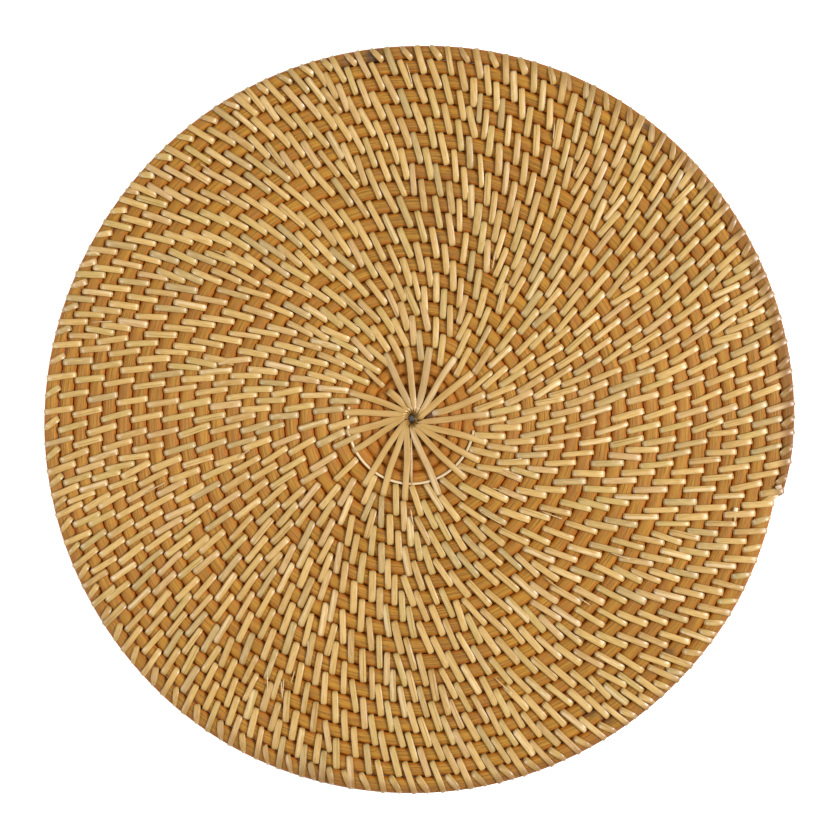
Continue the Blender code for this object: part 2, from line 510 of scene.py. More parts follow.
def binding_turns(draw):
    """Where along the coil each strip crosses its middle groove.

    A strip goes half-way between two of the row before, evened out a little by the two beyond them.
    Now and then two go there, so that the spacing stays the same as the rows get longer.
    """
    sizes = bpy.context.scene.placemat_sizes
    turns = sorted((-deg / 360 - JOIN_TURN) % 1 + JOIN_TURN - 1 for deg in CENTRE_STRIP_DEGS)
    first = len(turns)
    index = 0
    owed = 0.0
    since = 0
    while turns[-1] < TIP_TURN + 1:
        inner = turns[max(index - 2, 0) : index + 4]
        gap = turns[index + 1] - turns[index]
        around = (inner[-1] - inner[0]) / (len(inner) - 1)
        beside = (turns[index] + turns[index + 1]) / 2
        beyond = (turns[max(index - 1, 0)] + turns[index + 2]) / 2
        middle = 1 + BESIDE_SHARE * beside + (1 - BESIDE_SHARE) * beyond
        reach = 2 * math.pi * float(mean_radius(middle))
        even = sizes.spacing * (1 - CLOSER_INSIDE * math.exp(-middle / CLOSER_TURNS))
        owed += gap * reach / even - 1
        since += 1
        wide = around * reach > even and gap > WIDE_SHARE * around
        two = owed > OWED and since > SINGLES and wide
        if two:
            owed -= 1
            since = 0
        for aside in (-TWO_ASIDE, TWO_ASIDE) if two else (0.0,):
            turn = middle + gap * aside + draw.normal(0, STRAY_MM) * MM / reach
            turns.append(turn + end_shift(turn, np.array(turns), reach))
        index += 1
    return np.array([t for t in turns[first:] if t < TIP_TURN + 1])


def end_shift(turn, turns, reach):
    """How far to move a strip whose inner end would lie over the end of a strip two rows in."""
    sizes = bpy.context.scene.placemat_sizes
    lean = sizes.lean + math.radians(float(lean_change(turn)))
    apart = (turn - turns - 2) * reach + 2 * sizes.pitch * math.tan(lean)
    nearest = float(apart[np.argmin(np.abs(apart))])
    if abs(nearest) > ENDS_APART:
        return 0.0
    shift = math.copysign(ENDS_APART - abs(nearest), nearest)
    return float(np.clip(shift, -STRIP_MOVE, STRIP_MOVE)) / reach


def side_by_side(inner, outer, crossing):
    """Moves inner and outer ends along their grooves, off each other and off the strips that cross."""
    start = np.concatenate([inner, outer, crossing])
    order = np.argsort(start)
    start = start[order]
    moves = (order < len(inner) + len(outer)).astype(float)
    reach = 2 * math.pi * mean_radius(start)
    pair = np.maximum(moves[:-1] + moves[1:], 1.0)
    share_before = moves[:-1] / pair
    share_after = moves[1:] / pair
    placed = start.copy()
    for _ in range(PUSHES):
        push = PUSH_SHARE * np.maximum(ENDS_APART / reach[1:] - np.diff(placed), 0.0)
        placed[:-1] -= push * share_before
        placed[1:] += push * share_after
        placed = np.clip(placed, start - END_MOVE / reach, start + END_MOVE / reach)
    ends = np.empty(len(placed))
    ends[order] = placed
    return ends[: len(inner)], ends[len(inner) : len(inner) + len(outer)]


def linked(obj):
    bpy.context.scene.collection.objects.link(obj)
    return obj


def finished(obj):
    """Puts a finished piece on the mat's body."""
    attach(obj, BODY)


def outward(mesh):
    """Turns all faces of a closed mesh outwards."""
    bm = bmesh.new()
    bm.from_mesh(mesh)
    bmesh.ops.recalc_face_normals(bm, faces=bm.faces)
    bm.to_mesh(mesh)
    bm.free()


def level_sides(centres):
    """The level direction across a line, at each of its points."""
    lines = np.gradient(centres, axis=0)
    sides = np.column_stack([-lines[:, 1], lines[:, 0], np.zeros(len(lines))])
    return sides / np.linalg.norm(sides, axis=1, keepdims=True)


def set_attribute(mesh, name, values, kind="FLOAT"):
    layer = mesh.attributes.new(name, kind, "POINT")
    layer.data.foreach_set("vector" if kind == "FLOAT_VECTOR" else "value", np.ravel(values))


def band_mesh(name, centres, acrosses, half_widths, half_thicks, alongs, closed=False):
    """A flat strip swept along its centres: a convex top, and closed ends unless it is a loop."""
    centres = np.asarray(centres, float)
    count, sides = len(centres), len(STRIP_SECTION)
    tangents = np.gradient(centres, axis=0)
    if closed:
        tangents = np.roll(centres, -1, axis=0) - np.roll(centres, 1, axis=0)
    ups = np.cross(tangents, acrosses)
    ups /= np.linalg.norm(ups, axis=1, keepdims=True)
    across_share, up_share = np.array(STRIP_SECTION).T
    points = (
        centres[:, None]
        + acrosses[:, None] * (np.asarray(half_widths)[:, None] * across_share)[..., None]
        + ups[:, None] * (np.asarray(half_thicks)[:, None] * up_share)[..., None]
    )
    faces = []
    for ring in range(count if closed else count - 1):
        after = (ring + 1) % count
        for side in range(sides):
            turn = (side + 1) % sides
            faces.append(
                (ring * sides + side, ring * sides + turn, after * sides + turn, after * sides + side)
            )
    if not closed:
        faces.append(tuple(range(sides)))
        faces.append(tuple(range((count - 1) * sides, count * sides)))
    mesh = bpy.data.meshes.new(name)
    mesh.from_pydata(points.reshape(-1, 3).tolist(), [], faces)
    mesh.update()
    outward(mesh)
    ends = np.array([edge.vertices[:] for edge in mesh.edges]) % sides
    crisp = (ends[:, 0] == ends[:, 1]) & np.isin(ends[:, 0], CRISP_SIDES)
    mesh.attributes.new("sharp_edge", "BOOLEAN", "EDGE").data.foreach_set("value", crisp)
    set_attribute(mesh, "along", np.repeat(alongs, sides))
    set_attribute(mesh, "across", np.tile(across_share, count))
    return mesh


def geometry_tree(name, sockets):
    """A Geometry Nodes tree with a geometry input and output and these named inputs."""
    tree = bpy.data.node_groups.new(name, "GeometryNodeTree")
    tree.interface.new_socket("Geometry", in_out="INPUT", socket_type="NodeSocketGeometry")
    for label, kind, default in sockets:
        socket = tree.interface.new_socket(label, in_out="INPUT", socket_type=kind)
        if default is not None:
            socket.default_value = default
    tree.interface.new_socket("Geometry", in_out="OUTPUT", socket_type="NodeSocketGeometry")
    kit = Kit(tree)
    ends = kit.node("NodeGroupInput").outputs
    return tree, kit, {socket.name: Term(kit, socket) for socket in ends if socket.name}


def end_tree(kit, geometry, offset, material):
    """Ends a tree: its geometry made plain, moved by an offset, smooth and in its material."""
    whole = kit.value("GeometryNodeRealizeInstances", None, {"Geometry": geometry})
    moved = kit.value("GeometryNodeSetPosition", None, {"Geometry": whole, "Offset": offset})
    smooth = kit.value("GeometryNodeSetShadeSmooth", None, {"Geometry": moved})
    done = kit.value("GeometryNodeSetMaterial", None, {"Geometry": smooth, "Material": material})
    kit.node("NodeGroupOutput", None, {"Geometry": done})


def grown(name, source, tree, inputs):
    """The mesh that a tree grows from a source mesh, as a plain object with no modifier."""
    seed = linked(bpy.data.objects.new(name + "_source", source))
    modifier = seed.modifiers.new(name, "NODES")
    modifier.node_group = tree
    for item in tree.interface.items_tree:
        if item.in_out == "INPUT" and item.name in inputs:
            modifier[item.identifier] = inputs[item.name]
    graph = bpy.context.evaluated_depsgraph_get()
    mesh = bpy.data.meshes.new_from_object(seed.evaluated_get(graph), depsgraph=graph)
    bpy.data.objects.remove(seed)
    mesh.name = name
    return linked(bpy.data.objects.new(name, mesh))


def sweep_tree():
    """Sweeps a rounded section along the source's edges, its sizes changing with the attribute thick."""
    tree, kit, given = geometry_tree(
        "Cane along a path",
        (
            ("Width", "NodeSocketFloat", 0.007),
            ("Height", "NodeSocketFloat", 0.005),
            ("Squareness", "NodeSocketFloat", 0.7),
            ("Sides", "NodeSocketInt", 14),
            ("Wander", "NodeSocketFloat", 0.0001),
            ("Middle Height", "NodeSocketFloat", 0.0035),
            ("Material", "NodeSocketMaterial", None),
        ),
    )
    place = kit.value("GeometryNodeInputPosition")
    noise = kit.value(
        "ShaderNodeTexNoise", {"noise_dimensions": "3D"}, {"Vector": place, "Scale": 45.0}, "Color"
    )
    off = kit.value("ShaderNodeVectorMath", {"operation": "SUBTRACT"}, {0: noise, 1: (0.5, 0.5, 0.5)})
    off = kit.value("ShaderNodeVectorMath", {"operation": "SCALE"}, {0: off, "Scale": given["Wander"]})
    path = kit.value("GeometryNodeSetPosition", None, {"Geometry": given["Geometry"], "Offset": off})
    line = kit.value("GeometryNodeMeshToCurve", None, {"Mesh": path})
    line = kit.value("GeometryNodeSetCurveNormal", {"mode": "Z_UP"}, {"Curve": line})
    reach = kit.value("GeometryNodeSplineParameter", output="Length")
    line = kit.stored(line, "along", reach)
    circle = kit.value(
        "GeometryNodeCurvePrimitiveCircle", None, {"Resolution": given["Sides"], "Radius": 1.0}
    )
    axes = kit.node("ShaderNodeSeparateXYZ", None, {"Vector": place})

    def squared(axis):
        share = Term(kit, axes.outputs[axis])
        return share.math("SIGN") * share.absolute().power(given["Squareness"])

    across, up = squared("X"), squared("Y")
    outline = kit.vector(across * given["Width"] * 0.5, up * given["Height"] * 0.5, 0.0)
    circle = kit.stored(circle, "across", across)
    section = kit.value("GeometryNodeSetPosition", None, {"Geometry": circle, "Position": outline})
    swept = kit.value(
        "GeometryNodeCurveToMesh",
        None,
        {"Curve": line, "Profile Curve": section, "Scale": kit.named("thick"), "Fill Caps": True},
    )
    over = Term(kit, axes.outputs["Z"]) - given["Middle Height"]
    wider = kit.named("thick").math("MAXIMUM", 1.0)
    end_tree(kit, swept, kit.vector(0.0, 0.0, over * (1.0 / wider - 1.0)), given["Material"])
    return tree


def binding_tree():
    """Puts a strip on each of the source's points, and draws its underside to the next strip."""
    tree, kit, given = geometry_tree(
        "Strips on points",
        (
            ("Strip", "NodeSocketObject", None),
            ("Tilt", "NodeSocketFloat", 0.06),
            ("Lift", "NodeSocketFloat", 0.0001),
            ("Seed", "NodeSocketInt", 0),
            ("Material", "NodeSocketMaterial", None),
        ),
    )

    def random(low, high, shift):
        made = kit.node(
            "FunctionNodeRandomValue", {"data_type": "FLOAT"}, {"Seed": given["Seed"] + float(shift)}
        )
        kit.feed(made.inputs[2], low)
        kit.feed(made.inputs[3], high)
        return Term(kit, made.outputs[1])

    tilt = random(-1.0, 1.0, 1) * given["Tilt"]
    lift = random(-1.0, 1.0, 2) * given["Lift"]
    strip = kit.value("GeometryNodeObjectInfo", None, {"Object": given["Strip"]}, "Geometry")
    upwards = kit.vector(0.0, 0.0, lift)
    raised = kit.value(
        "GeometryNodeSetPosition", None, {"Geometry": given["Geometry"], "Offset": upwards}
    )
    placed = kit.value(
        "GeometryNodeInstanceOnPoints",
        None,
        {
            "Points": raised,
            "Instance": strip,
            "Rotation": kit.vector(tilt, 0.0, kit.named("turned")),
            "Scale": kit.vector(kit.named("reach"), kit.named("broad"), 1.0),
        },
    )
    for name, shift in (("tone", 3), ("hue", 4), ("split", 5)):
        placed = kit.stored(placed, name, random(0.0, 1.0, shift), "INSTANCE")
    drawn = kit.value(
        "ShaderNodeVectorMath",
        {"operation": "SCALE"},
        {0: kit.named("to_next", "FLOAT_VECTOR"), "Scale": kit.named("slant")},
    )
    end_tree(kit, placed, drawn, given["Material"])
    return tree


def surface(name):
    """A new material, its tree's kit and its shader."""
    made = bpy.data.materials.get(name)
    if made:
        return made, None, None
    made = bpy.data.materials.new(name)
    made.use_nodes = True
    kit = Kit(made.node_tree)
    return made, kit, made.node_tree.nodes["Principled BSDF"]


def bump(kit, shader, height, distance, strength=1.0):
    made = kit.node(
        "ShaderNodeBump", None, {"Height": height, "Distance": distance, "Strength": strength}
    )
    kit.feed(shader.inputs["Normal"], made.outputs["Normal"])


def from_hole(kit, place):
    """The distance from the hole, as a shader reads it."""
    return kit.measure("DISTANCE", place, (*hole_place(), MIDDLE_Z))


def rim_shade(kit, place):
    """How much painted shade darkens the mat at its rim, and 0 from a few millimetres inside."""
    side = kit.measure("DOT_PRODUCT", place, RIM_SHADE_SIDE)
    return kit.measure("LENGTH", place).smooth_step(*RIM_SHADE_FADE) * (side * 0.42 + 0.44)


def cane_material():
    """Sanded cane: fine grain along the row, painted shade in the grooves, near the hole and at the rim, and
    darker where worn.
    """
    made, kit, shader = surface("sanded_cane")
    if kit is None:
        return made
    colours = bpy.context.scene.placemat_colours
    along, across = kit.attribute("along"), kit.attribute("across")
    place = kit.value("ShaderNodeTexCoord", output="Object")
    height = Term(kit, kit.node("ShaderNodeSeparateXYZ", None, {"Vector": place}).outputs["Z"])
    grain = kit.noise(kit.vector(along * 30.0, across * 5.5, height * 700.0), 1.0, 3.0, 0.65)
    pore = kit.noise(kit.vector(along * 140.0, across * 16.0, height * 2400.0), 1.0, 2.0, 0.5)
    patch = kit.noise(kit.vector(along * 75.0, across * 0.5, 3.7), 1.0, 2.0)
    area = kit.noise(place, 9.0, 2.0)
    streak = grain.smooth_step(0.3, 0.56) * 0.7 + pore.smooth_step(0.3, 0.6) * 0.3
    base = kit.mix(streak, colours.cane_dark, colours.cane)
    base = kit.mix(patch.smooth_step(0.42, 0.66) * 0.55, base, colours.cane_red)
    base = kit.mix(area.smooth_step(0.45, 0.65) * 0.25, base, colours.cane_dark)
    # Painted shade: darker towards the grooves between the rows
    deep = across.absolute().smooth_step(0.44, 0.8)
    out = from_hole(kit, place)
    base = kit.mix(out.smooth_step(*CORE_FADE) * 0.6, base, colours.cane_core)
    base = kit.mix(deep * 0.9, base, colours.groove)
    # Painted shade near the hole, darkest in the pit beside it
    base = kit.mix(out.smooth_step(*SHADE_FADE) * 0.6, base, colours.groove)
    base = kit.mix(out.smooth_step(*PIT_FADE) * 0.9, base, colours.pit)
    # Painted shade at the rim
    base = kit.mix(rim_shade(kit, place), base, colours.cane_dark)
    for radius, degrees, broad, strength in STAINS:
        middle = (*flat_place(radius * MM, math.radians(degrees)), MIDDLE_Z + CANE_TOP)
        mark = kit.measure("DISTANCE", place, middle).smooth_step(broad * MM, broad * MM * 0.35)
        base = kit.mix(mark * strength, base, colours.stain)
    kit.feed(shader.inputs["Base Color"], base)
    kit.feed(shader.inputs["Roughness"], 0.66 - streak * 0.14)
    shader.inputs["Specular IOR Level"].default_value = 0.2
    bump(kit, shader, streak, 0.3 * MM, 0.9)
    return made


def peel_material():
    """Smooth peel: each strip its own tone, faint fibres along it, a painted highlight streak, and painted
    shade at its edges, near the hole and at the rim.
    """
    made, kit, shader = surface("smooth_peel")
    if kit is None:
        return made
    colours = bpy.context.scene.placemat_colours
    along, across = kit.attribute("along"), kit.attribute("across")
    tone, hue, grey = kit.attribute("tone"), kit.attribute("hue"), kit.attribute("grey")
    split = kit.attribute("split")
    place = kit.value("ShaderNodeTexCoord", output="Object")
    fibre = kit.noise(kit.vector(along * 1.3 + tone * 53.0, across * 2.4, tone * 71.0), 1.0, 4.0, 0.65)
    broad = kit.noise(kit.vector(along * 1.6 + tone * 37.0, across * 1.2, tone * 11.0), 1.0, 2.0)
    base = kit.mix(tone.smooth_step(-0.3, 0.8), colours.peel_dark, colours.peel)
    base = kit.mix(tone.smooth_step(0.7, 1.7), base, colours.peel_pale)
    base = kit.mix(hue.smooth_step(0.6, 1.0) * 0.65, base, colours.peel_green)
    base = kit.mix(hue.smooth_step(0.25, 0.0) * 0.65, base, colours.peel_pink)
    base = kit.mix(grey * 0.8, base, colours.peel_grey)
    dull = (split - 0.82).absolute().smooth_step(0.08, 0.05)
    base = kit.mix(dull * 0.65, base, colours.peel_dull)
    # Fibre streaks along the strip, real grain; the pale ones partly stand for a painted streaky sheen
    base = kit.mix(fibre.smooth_step(0.56, 0.34) * 0.6, base, colours.peel_dark)
    base = kit.mix(fibre.smooth_step(0.54, 0.7) * 0.5, base, colours.peel_pale)
    base = kit.mix(broad.smooth_step(0.52, 0.75) * 0.3, base, colours.peel_pale)
    base = kit.mix(tone.smooth_step(1.5, 2.5), base, colours.peel_white)
    # Painted highlight: a pale streak along each strip, white on strips whose split is near 0
    painted_gleam = (across - along * 0.1 + 0.2).absolute().smooth_step(0.6, 0.15) * fibre.smooth_step(0.3, 0.52)
    base = kit.mix(painted_gleam * 0.25, base, colours.peel_pale)
    base = kit.mix(painted_gleam * split.smooth_step(0.12, 0.03) * 0.22, base, colours.peel_white)
    # Painted shade along the strip's edges, where it meets the cane
    edge = across.absolute().smooth_step(0.8, 1.0)
    base = kit.mix(edge * 0.6, base, colours.cane_dark)
    shade = from_hole(kit, place).smooth_step(*PEEL_SHADE_FADE)
    base = kit.mix(shade * 0.35, base, colours.peel_dark)
    # Painted shade at the rim
    base = kit.mix(rim_shade(kit, place), base, colours.cane_dark)
    crack = (across + along * 0.12 - 0.25).absolute().smooth_step(0.12, 0.03)
    base = kit.mix(crack * split.smooth_step(0.9, 0.93) * 0.8, base, colours.cane_dark)
    kit.feed(shader.inputs["Base Color"], base)
    kit.feed(shader.inputs["Roughness"], 0.27 + fibre * 0.2)
    shader.inputs["Specular IOR Level"].default_value = 0.5
    shader.inputs["Coat Weight"].default_value = 0.12
    shader.inputs["Coat Roughness"].default_value = 0.25
    bump(kit, shader, fibre, 0.15 * MM, 0.8)
    return made


def floor_material():
    """White paper, brighter round the mat than beneath it, where it glows: painted light that keeps the mat's
    shadow off it.
    """
    made, kit, shader = surface("floor_paper")
    if kit is None:
        return made
    shader.inputs["Base Color"].default_value = (0.9, 0.9, 0.9, 1.0)
    shader.inputs["Roughness"].default_value = 0.9
    place = kit.value("ShaderNodeTexCoord", output="Object")
    # Painted light: the floor glows round the mat
    clear = kit.measure("LENGTH", place).smooth_step(*FLOOR_GLOW_FADE)
    kit.feed(shader.inputs["Emission Color"], kit.mix(clear, (0.0, 0.0, 0.0), (1.0, 1.0, 1.0)))
    shader.inputs["Emission Strength"].default_value = 0.5
    return made


class PLACEMAT_OT_cane_coil(bpy.types.Operator):
    """Lays the cane in its spiral: thin starter turns at the centre, then full cane to the tip"""

    bl_idname = "placemat.cane_coil"
    bl_label = "Cane coil"

    def execute(self, context):
        sizes = context.scene.placemat_sizes
        tree = sweep_tree()
        for name, first, last, fill, square, middle in (
            # its first and last turn, share of the row's width, squareness and middle height
            ("cane_coil", JOIN_TURN - 0.05, TIP_TURN, sizes.cane_fill, 0.84, MIDDLE_Z),
            ("starter_cane", START_TURN, JOIN_TURN + 0.05, 1.06, 1.0, MIDDLE_Z - 0.2 * MM),
        ):
            source = self.path(first, last, middle)
            inputs = {
                "Width": sizes.pitch * fill,
                "Height": sizes.cane_height,
                "Squareness": square,
                "Sides": 14,
                "Wander": 0.25 * MM,
                "Middle Height": middle,
                "Material": cane_material(),
            }
            coil = grown(name, source, tree, inputs)
            if name == "cane_coil":
                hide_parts("coil_mat")
            finished(coil)
        return {"FINISHED"}

    def path(self, first, last, middle):
        """The middle line of the cane between two turns, with the cane's relative size along it."""
        sizes = bpy.context.scene.placemat_sizes
        step = 4.0 * MM
        turn = [first]
        while turn[-1] < last:
            turn.append(turn[-1] + step / (2 * math.pi * float(mean_radius(turn[-1] + 0.5))))
        turn[-1] = last
        turn = np.array(turn)
        inner, outer = edge_radius(turn), edge_radius(turn + 1)
        outer = outer - RIM_INSET * (turn + 1 > TIP_TURN)
        if last == TIP_TURN:
            from_end = (last - turn) * 2 * math.pi * mean_radius(last)
            outer = inner + (outer - inner) * np.clip(TIP_SHARE + from_end / TIP_TAPER, 0.0, 1.0)
        wide = (outer - inner) / sizes.pitch
        flat = flat_place((inner + outer) / 2, -2 * math.pi * turn)
        centres = np.column_stack([flat, np.full(len(turn), middle)])
        source = bpy.data.meshes.new("cane_path")
        source.from_pydata(centres.tolist(), [(i, i + 1) for i in range(len(turn) - 1)], [])
        set_attribute(source, "thick", wide)
        return source


def unit_strip(name, path):
    """One strip along +X, a row long for each row that it crosses, as an object to put on points."""
    sizes = bpy.context.scene.placemat_sizes
    rows, heights, slants = (np.array(column) for column in zip(*path))
    centres = np.column_stack([rows * sizes.pitch, np.zeros(len(rows)), heights * MM])
    acrosses = np.tile([0.0, 1.0, 0.0], (len(rows), 1))
    middle = (rows.min() + rows.max()) / 2
    spread = (rows.max() - rows.min()) / 2
    ends = np.abs((rows - middle) / spread)
    half_widths = sizes.strip_width / 2 * (1 - END_SLIM * ends**10)
    if path is WRAP_PATH:
        half_widths *= 1 - WRAP_SLIM * np.clip((rows - 0.6) / 0.35, 0.0, 1.0)
    half_thicks = np.full(len(rows), sizes.strip_thick / 2)
    mesh = band_mesh(name, centres, acrosses, half_widths, half_thicks, (rows - middle) / spread)
    set_attribute(mesh, "slant", np.repeat(slants, len(STRIP_SECTION)))
    return bpy.data.objects.new(name, mesh)


def width_shares(draw, count, spread, least, most):
    """Each strip's width, as a share of the usual one."""
    return np.clip(draw.normal(1.0, spread, count), least, most)


def strip_points(name, inner, outer, middle_share, draw):
    """The points that strips from inner to outer are put on, each with its turn and sizes."""
    sizes = bpy.context.scene.placemat_sizes
    run = outer - inner
    length = np.linalg.norm(run, axis=1)
    base = inner + run * middle_share
    to_next = np.zeros((len(inner), 3))
    to_next[:-1, :2] = inner[1:] - inner[:-1]
    source = bpy.data.meshes.new(name)
    source.from_pydata(np.column_stack([base, np.full(len(base), MIDDLE_Z)]).tolist(), [], [])
    rows = 2.0 if middle_share else 1.0
    set_attribute(source, "turned", np.arctan2(run[:, 1], run[:, 0]))
    set_attribute(source, "reach", length / (sizes.pitch * rows))
    set_attribute(source, "broad", width_shares(draw, len(base), *STRIP_WIDTHS))
    set_attribute(source, "to_next", to_next, "FLOAT_VECTOR")
    return source


class PLACEMAT_OT_binding_strips(bpy.types.Operator):
    """Sews a peel strip over every two rows, and a short wrap between at the rim"""

    bl_idname = "placemat.binding_strips"
    bl_label = "Binding strips"

    def execute(self, context):
        sizes = context.scene.placemat_sizes
        draw = np.random.default_rng(sizes.seed)
        turns = binding_turns(draw)
        lean = sizes.lean + np.radians(lean_change(turns) + draw.normal(0, STRAY_DEG, len(turns)))
        on_rim = turns > TIP_TURN
        aside = np.where(on_rim, WRAP_ASIDE, sizes.pitch * np.tan(lean)) / edge_radius(turns)
        step = aside / (2 * math.pi)
        inner_turn, outer_turn = side_by_side(turns - 1 + step, turns + 1 - step, turns[~on_rim])
        inner = flat_place(edge_radius(inner_turn), -2 * math.pi * inner_turn)
        long_turn = np.minimum(outer_turn, TIP_TURN + 1)
        long_r = edge_radius(long_turn) - STRIP_RIM_INSET * (long_turn > TIP_TURN)
        long_outer = flat_place(long_r, -2 * math.pi * outer_turn)
        short_outer = flat_place(edge_radius(turns) - WRAP_RIM_INSET, aside - 2 * math.pi * turns)
        tree = binding_tree()
        long_strip = linked(unit_strip("long_strip", STRIP_PATH))
        short_strip = linked(unit_strip("short_strip", WRAP_PATH))
        groups = (
            ("binding_strips_inner", ~on_rim & (turns < SPLIT_TURN), long_strip, long_outer, 0.5),
            ("binding_strips_outer", ~on_rim & (turns >= SPLIT_TURN), long_strip, long_outer, 0.5),
            ("rim_wraps", on_rim, short_strip, short_outer, 0.0),
        )
        for name, chosen, strip, outer, share in groups:
            source = strip_points(name, inner[chosen], outer[chosen], share, draw)
            if strip is short_strip:
                broad = width_shares(draw, int(chosen.sum()), *WRAP_WIDTHS)
                source.attributes["broad"].data.foreach_set("value", broad)
            inputs = {
                "Strip": strip,
                "Tilt": 0.09,
                "Lift": 0.08 * MM,
                "Seed": sizes.seed,
                "Material": peel_material(),
            }
            finished(grown(name, source, tree, inputs))
        for helper in (long_strip, short_strip):
            bpy.data.objects.remove(helper)
        return {"FINISHED"}


class PLACEMAT_OT_centre_strips(bpy.types.Operator):
    """Winds the peel strip through the hole and out over the starter turns"""

    bl_idname = "placemat.centre_strips"
    bl_label = "Centre strips"

    def execute(self, context):
        sizes = context.scene.placemat_sizes
        draw = np.random.default_rng(sizes.seed + 1)
        made = [self.strip(index, sizes, draw) for index in range(len(CENTRE_STRIP_DEGS))]
        strips = joined("centre_strips", made)
        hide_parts("centre_wrap")
        finished(strips)
        return {"FINISHED"}

    def upper_side(self, index):
        """Radius, angle and height of one strip along its upper side, from the hole to its end groove."""
        end_deg = CENTRE_STRIP_DEGS[index]
        end_turn = (-end_deg / 360 - JOIN_TURN) % 1 + JOIN_TURN
        end_r = float(groove_radius(end_turn))
        foot = math.radians(end_deg) - math.acos(PAST_HOLE / end_r)
        radii = np.array([3.1, 3.6, 4.6, 6.0, 8.0, 11.0, 14.5, 17.0, 19.7, 22.5, 25.5]) * MM
        radii = np.append(radii[radii < end_r - 3.5 * MM], end_r - np.array([2.2, 1.1, 0.45, 0.1]) * MM)
        heights = np.full(len(radii), 3.0)
        heights[:2] = (2.2, 2.8)
        heights[-4:] = (2.8, 2.3, 1.5, 0.2)
        heights += 0.16 * np.sin(index * 2.4 + radii * 300)
        dive = (index == DIVING_STRIP) * np.clip((12 * MM - radii) / (4 * MM), 0.0, 1.0)
        heights -= 3.2 * dive
        angle = foot + np.arccos(PAST_HOLE / radii) + math.radians(10) * dive
        angle += math.radians(0.8) * np.sin(radii * 190 + index * 1.7)
        return radii, angle, heights * MM

    def strip(self, index, sizes, draw):
        """One strip's loop: out over the top, down at its end, and back underneath."""
        radii, angle, heights = self.upper_side(index)
        flat = flat_place(radii, angle) - hole_place()
        hole_share = np.clip((6 * MM - radii) / (3 * MM), 0.0, 1.0)[:, None]
        flat *= 1 + hole_share * (HOLE_STRETCH - 1)
        drawn_in = 1 - 0.5 * hole_share
        top = np.column_stack([flat + hole_place(), MIDDLE_Z + heights])
        under = np.column_stack([flat * drawn_in + hole_place(), MIDDLE_Z - heights])[::-1]
        sides = level_sides(top)
        near = np.clip((11 * MM - radii) / (8 * MM), 0.0, 1.0)
        sides[:, 2] = 0.42 * near
        broad = sizes.strip_width / 2 * (1 - 0.3 * near) * draw.uniform(0.94, 1.12)
        alongs = np.linspace(-1.6, 1.6, len(radii))
        loop = [np.concatenate([a, b[1:]]) for a, b in (
            (top, under), (sides, sides[::-1]), (broad, broad[::-1]), (alongs, alongs[::-1]),
        )]
        if index == BROKEN_STRIP:
            inner_part = radii < 17.1 * MM
            broader = np.where(inner_part, 1.12, 0.72)
            loop[2] = loop[2] * np.concatenate([broader, np.full(len(under) - 1, 0.9)])
            split = int(inner_part.sum())
            loop = [np.concatenate([part[split:], part[:split]]) for part in loop]
        centres, acrosses, half, alongs = loop
        thick = np.full(len(centres), sizes.strip_thick / 2)
        whole = index != BROKEN_STRIP
        mesh = band_mesh("centre_strip", centres, acrosses, half, thick, alongs, closed=whole)
        give_finish(mesh, CENTRE_FINISHES[index])
        return mesh


def give_finish(mesh, finish):
    """Sets what the peel's material reads, for a whole strip."""
    for name, value in zip(("tone", "hue", "grey", "split"), FINISHES[finish]):
        set_attribute(mesh, name, np.full(len(mesh.vertices), value))


def joined(name, meshes):
    """One smooth object of peel made of these meshes."""
    bm = bmesh.new()
    for mesh in meshes:
        bm.from_mesh(mesh)
    whole = bpy.data.meshes.new(name)
    bm.to_mesh(whole)
    bm.free()
    whole.materials.append(peel_material())
    whole.polygons.foreach_set("use_smooth", np.ones(len(whole.polygons), bool))
    return linked(bpy.data.objects.new(name, whole))


def laid_strip(name, radii, degrees, heights, width, thick, finish, twist=0.0):
    """A loose strip laid through these places: radius and height over the middle in mm, and angle."""
    flat = flat_place(np.array(radii) * MM, np.radians(degrees))
    centres = np.column_stack([flat, MIDDLE_Z + np.array(heights) * MM])
    sides = level_sides(centres)
    sides[:, 2] = twist
    count = len(centres)
    halves, thicks = np.full(count, width / 2), np.full(count, thick / 2)
    mesh = band_mesh(name, centres, sides, halves, thicks, np.linspace(-1.0, 1.0, count))
    give_finish(mesh, finish)
    return mesh


